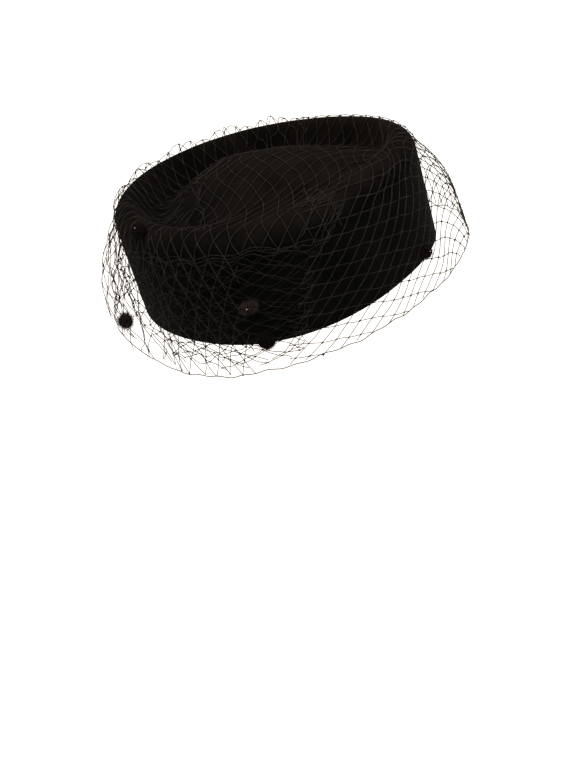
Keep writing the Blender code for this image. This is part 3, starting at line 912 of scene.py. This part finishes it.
def make_tack():
    """Crinkled loops of thread where the gathered layers are tacked to the shoulder."""
    chance = np.random.default_rng(46)
    share = np.linspace(0, 1, TACK_POINTS)
    strands = []
    for _ in range(TACK_LOOPS):
        start = np.array(TACK_FROM) + chance.uniform(-1, 1, 2) * (5, 9)
        end = np.array(TACK_TO) + chance.uniform(-1, 1, 2) * (4, 14)
        beat, late = chance.uniform(2.2, 4.2), chance.uniform(0, 6)
        direction = start[0] + (end[0] - start[0]) * share + np.sin(share * beat * 6.3 + late) * 2.2
        turn = start[1] + (end[1] - start[1]) * share + np.cos(share * beat * 4.4 + late) * 9
        lift = 1.2 + (0.7 + 0.7 * np.sin(share * beat * 5 + late * 2)) * np.sin(share * np.pi)
        strands.append(over_shoulder(direction, turn, lift))
    make_loose_threads("gather_tacking", strands, knot_every=35, knot_radius=0.45, seed=45)


# Chenille dots

DOT_COLUMNS = (
    "direction", "length", "width", "thickness", "turn", "tilt", "tone", "longest", "drop", "sunk")
DOT_ROWS = (                   # longest fibre, radius of the dried glue drop, whose pale colour paints a glint, and depth into the veil
    (121.5, 12.5, 11, 11, 60, 15, 0.42, 3.8, 0.0, 0),
    (64.5, 17, 11, 8.5, 15, 12, 0.42, 1.6, 0.5, 0),
    (61.5, 13.5, 11, 8.5, 0, 5, 0.06, 3.0, 0.0, 0),
    (357.5, 11, 9.5, 8.5, 0, 15, 0.12, 1.9, 0.5, 0),
    (114, 13, 9.5, 8.5, 70, 60, 0.12, 2.2, 0.5, 1.8),
)
SHORTEST_FIBRE = 0.75
FIBRES_PER_DOT = 1500
FIBRE_LEAN = 0.75
FIBRE_RADIUS = 0.035           # this and the bend as shares of its length
FIBRE_BEND = 0.25
FIBRE_TAPER = 0.8
FIBRE_RINGS = 4
FIBRE_CORNERS = (0, 2.1, 4.2)
CORE_SHARE = 0.84              # of the dot, without its fibres
GLUE_OUT = 0.46                # share of the dot's thickness that the glue lies out from its middle
GLUE_LUMPS = 0.25


def make_fibre_tree():
    """Short curled fibres standing out of a core, with the core kept."""
    tree, given = new_tree("chenille fibres", Fibre="Object", Density="Float", Shortest="Float",
                           Longest="Float", Lean="Float", Seed="Int", Finish="Material")
    seed = given["Seed"]
    roots = add_node(tree, "GeometryNodeDistributePointsOnFaces", {
        "Mesh": given["Geometry"], "Density": given["Density"], "Seed": seed}, distribute_method="RANDOM")
    spread = add_node(tree, "ShaderNodeVectorMath", {
        0: random_vector(tree, given, (-1, -1, -1), (1, 1, 1)), "Scale": given["Lean"]}, operation="SCALE")
    way = add_node(tree, "ShaderNodeVectorMath", {
        0: roots.outputs["Normal"], 1: spread.outputs["Vector"]}, operation="ADD")
    face = add_node(tree, "FunctionNodeAlignRotationToVector", {"Vector": way.outputs["Vector"]}, axis="Z")
    spin = add_node(tree, "FunctionNodeRandomValue", {3: FULL_TURN, "Seed": seed}, data_type="FLOAT")
    about = add_node(tree, "ShaderNodeCombineXYZ", {"Z": spin.outputs[1]})
    turned = add_node(tree, "FunctionNodeRotateRotation", {
        "Rotation": face.outputs["Rotation"], "Rotate By": about.outputs["Vector"]}, rotation_space="LOCAL")
    long = add_node(tree, "FunctionNodeRandomValue", {
        2: given["Shortest"], 3: given["Longest"], "Seed": seed}, data_type="FLOAT")
    shape = add_node(tree, "GeometryNodeObjectInfo", {"Object": given["Fibre"]})
    fibres = add_node(tree, "GeometryNodeInstanceOnPoints", {
        "Points": roots.outputs["Points"], "Instance": shape.outputs["Geometry"],
        "Rotation": turned.outputs["Rotation"], "Scale": long.outputs[1]})
    return end_tree(tree, given, given["Geometry"], fibres.outputs["Instances"])


def make_fibre():
    """One curled hair, a metre long before it is scaled."""
    shape = bmesh.new()
    rings = []
    for step in range(FIBRE_RINGS):
        share = step / (FIBRE_RINGS - 1)
        radius = FIBRE_RADIUS * (1 - FIBRE_TAPER * share)
        bend = FIBRE_BEND * share * share
        rings.append([shape.verts.new((radius * math.cos(a) + bend, radius * math.sin(a), share))
                      for a in FIBRE_CORNERS])
    for low, high in zip(rings, rings[1:]):
        for i in range(3):
            shape.faces.new((low[i], low[(i + 1) % 3], high[(i + 1) % 3], high[i]))
    shape.faces.new(rings[-1])
    shape.faces.new(rings[0][::-1])
    return bpy.data.objects.new("hair", to_mesh("hair", shape))


def add_glue_drop(name, middle, radius):
    """Small dried drop that holds a dot to its thread; its pale colour paints a glint."""
    shape = bmesh.new()
    bmesh.ops.create_icosphere(shape, subdivisions=3, radius=radius)
    for vert in shape.verts:
        vert.co = middle + vert.co * (1 + GLUE_LUMPS * noise.noise(vert.co / radius))
    add_piece(name, to_mesh(name, shape), glint_glue_finish, "chenille")


def make_dots():
    tree = make_fibre_tree()
    hair = make_fibre()
    for i, row in enumerate(DOT_ROWS):
        dot = dict(zip(DOT_COLUMNS, row))
        low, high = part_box(f"chenille_dot_{i + 1}")
        angle, tilt = math.radians(dot["direction"]), math.radians(dot["tilt"])
        out = Vector((-math.sin(angle) * math.cos(tilt), -math.cos(angle) * math.cos(tilt), math.sin(tilt)))
        level = Vector((0, 0, 1)).cross(out).normalized()
        facing = Matrix((level, out.cross(level), out)).transposed().to_4x4()
        middle = (low + high) / 2 - out * dot["sunk"] * MM
        where = Matrix.Translation(middle) @ facing @ Matrix.Rotation(math.radians(dot["turn"]), 4, "Z")
        core = bmesh.new()
        bmesh.ops.create_icosphere(core, subdivisions=4, radius=0.5)
        size = Vector((dot["length"], dot["width"], dot["thickness"])) * MM
        for vert in core.verts:
            uneven = noise.noise(vert.co * 5 + Vector((i * 7, 0, 0))) * 0.16
            uneven += noise.noise(vert.co * 13) * 0.09
            vert.co = where @ (vert.co * (CORE_SHARE + uneven) * size)
        area = math.pi * size.x * size.y * 1.1
        mesh = grow("dot_shape", to_mesh("dot_core", core), tree, {
            "Fibre": hair, "Density": FIBRES_PER_DOT / area, "Shortest": SHORTEST_FIBRE * MM,
            "Longest": dot["longest"] * MM, "Lean": FIBRE_LEAN, "Seed": i + 3,
            "Finish": make_chenille_material(f"chenille_{i + 1}", dot["tone"])})
        add_piece(f"chenille_tuft_{i + 1}", mesh, None, "chenille", f"chenille_dot_{i + 1}")
        if dot["drop"]:
            add_glue_drop(f"glue_drop_{i + 1}", middle + out * size.z * GLUE_OUT, dot["drop"] * MM)
    bpy.data.objects.remove(hair)


# Stage, light and camera

CAMERA_AZIMUTH = -45
CAMERA_HEIGHT = 21.4
CAMERA_ROLL = 16.8
CAMERA_DISTANCE = 1.2
FILM_HEIGHT = 36
AIM = Vector((0, 0, 0.04))
PICTURE = (570, 760)
AIM_PIXEL = (267.3, 222.3)
PIXELS_PER_METRE = 1368        # at the aim point
LIGHT_FROM = (-0.12, -0.25, 1)
LIGHT_STRENGTH = 3.9
LIGHT_SPREAD = 55
LIGHT_COLOUR = (1, 0.93, 0.85)
ROOM_COLOUR = (0.98, 0.99, 1, 1)
ROOM_STRENGTH = 0.32
FLOOR_LEVEL = -0.9             # below the picture, because the veil hangs free
FLOOR_SIZE = 6


def make_camera():
    azimuth, height, roll = (math.radians(a) for a in (CAMERA_AZIMUTH, CAMERA_HEIGHT, CAMERA_ROLL))
    back = Vector((math.sin(azimuth) * math.cos(height), -math.cos(azimuth) * math.cos(height),
                   math.sin(height)))
    right = Vector((math.cos(azimuth), math.sin(azimuth), 0))
    up = back.cross(right)
    right, up = right * math.cos(roll) - up * math.sin(roll), right * math.sin(roll) + up * math.cos(roll)
    focus = PIXELS_PER_METRE * CAMERA_DISTANCE
    across = (PICTURE[0] / 2 - AIM_PIXEL[0]) / focus
    down = (PICTURE[1] / 2 - AIM_PIXEL[1]) / focus
    forward = (-back + right * across - up * down).normalized()
    right = (right - forward * right.dot(forward)).normalized()
    up = right.cross(forward)
    data = bpy.data.cameras.new("studio camera")
    data.sensor_fit = "VERTICAL"
    data.sensor_height = FILM_HEIGHT
    data.lens = focus / PICTURE[1] * FILM_HEIGHT
    camera = add_item("studio camera", data)
    camera.matrix_world = Matrix.Translation(AIM + back * CAMERA_DISTANCE) @ (
        Matrix((right, up, -forward)).transposed().to_4x4())
    bpy.context.scene.camera = camera


def make_light():
    """One large soft light high in front of the hat."""
    data = bpy.data.lights.new("soft studio light", "SUN")
    data.energy = LIGHT_STRENGTH
    data.angle = math.radians(LIGHT_SPREAD)
    data.color = LIGHT_COLOUR
    light = add_item("soft studio light", data)
    light.rotation_euler = Vector(LIGHT_FROM).to_track_quat("Z", "Y").to_euler()


def make_stage():
    shape = bmesh.new()
    bmesh.ops.create_grid(shape, x_segments=1, y_segments=1, size=FLOOR_SIZE)
    mesh = to_mesh("floor", shape)
    mesh.transform(Matrix.Translation((0, 0, FLOOR_LEVEL)))
    floor = add_item("floor", mesh)
    paper, tree, shader = principled("white paper", Roughness=0.9)
    tree.links.new(tone_between(tree, object_noise(tree, 3), (0.93, 0.93, 0.93), (0.96, 0.96, 0.96)),
                   shader.inputs["Base Color"])
    mesh.materials.append(paper)
    world = bpy.data.worlds.new("white room")
    bpy.context.scene.world = world
    world.use_nodes = True
    room = world.node_tree.nodes["Background"].inputs
    room["Color"].default_value = ROOM_COLOUR
    room["Strength"].default_value = ROOM_STRENGTH
    make_light()
    bpy.context.scene.view_settings.view_transform = "Standard"


make_camera()
make_stage()
make_felt_hat()
make_veil()
make_hem()
for number, layer in enumerate(GATHER_LAYERS, start=1):
    make_gather(f"gathered_layer_{number}", *layer)
make_folds()
make_tack()
make_dots()
